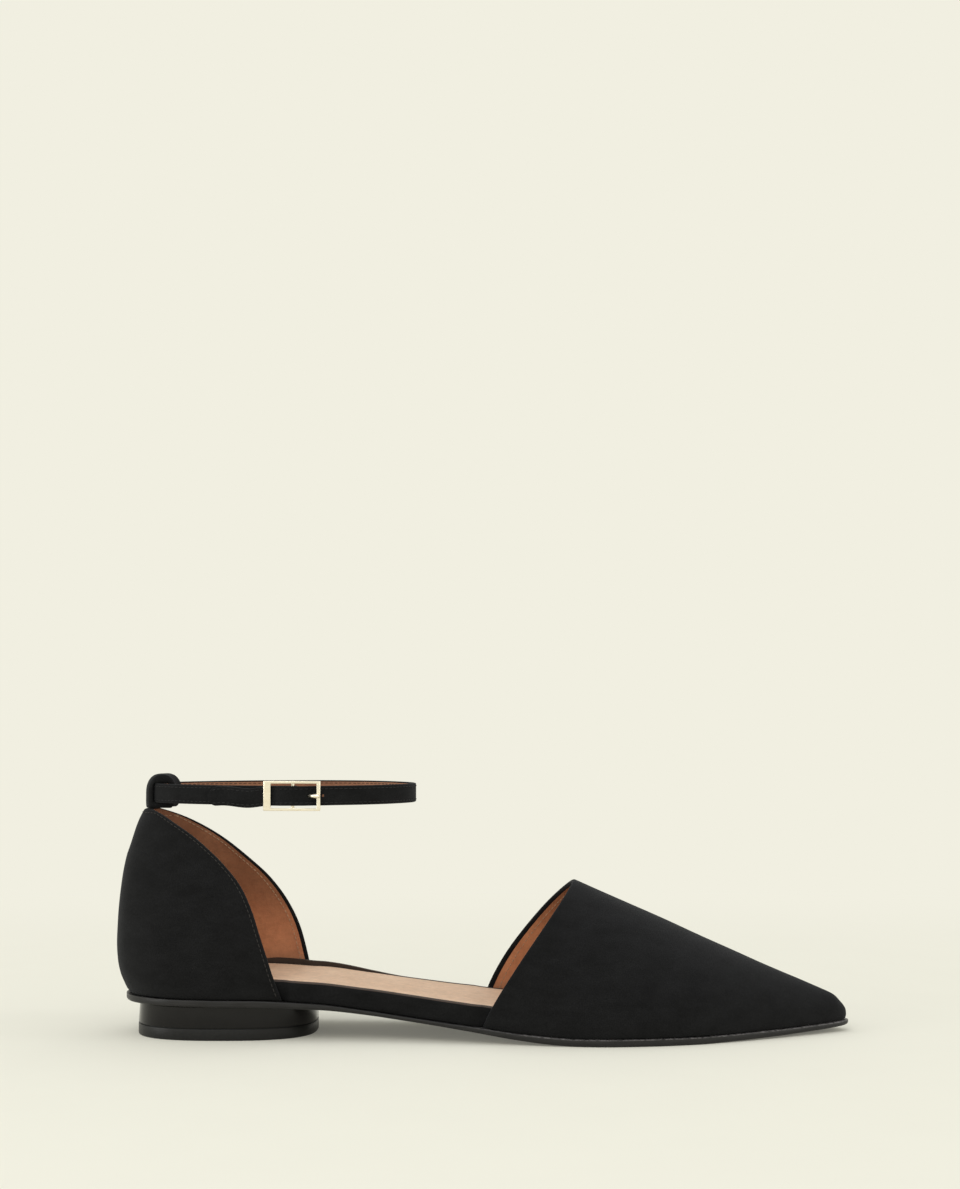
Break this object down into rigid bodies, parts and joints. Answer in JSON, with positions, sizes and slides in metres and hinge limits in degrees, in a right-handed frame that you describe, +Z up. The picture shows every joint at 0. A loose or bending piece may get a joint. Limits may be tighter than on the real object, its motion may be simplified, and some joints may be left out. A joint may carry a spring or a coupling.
{
  "type": "pointed toe flat shoe",
  "caption": "Right women's pointed toe flat in black suede: open waist, low oval heel and an ankle strap through a heel loop, closed by a small centre-bar buckle.",
  "frame": {"origin": "centre of the heel's underside, on the floor", "axes": "+X towards the toe along the shoe's length, +Z up, -Y towards the shoe's outer side with the buckle"},
  "size_m": [0.2638, 0.0773, 0.092],
  "materials": {
    "black_suede": "matt suede nap",
    "tan_leather": "smooth lining leather",
    "sole_leather": "dyed edge, satin",
    "heel_gloss": "gloss",
    "top_piece": "satin",
    "pale_gold": "pale gold plate"
  },
  "bodies": {
    "root": {"outsole": "sole_leather", "heel_block": "heel_gloss", "heel_top_piece": "top_piece", "insole": "black_suede", "sock": "tan_leather", "upper_quarter": "black_suede", "upper_vamp": "black_suede", "heel_loop": "black_suede", "ankle_strap": "black_suede", "buckle_frame": "pale_gold", "buckle_prong": "pale_gold"}
  },
  "joints": []
}
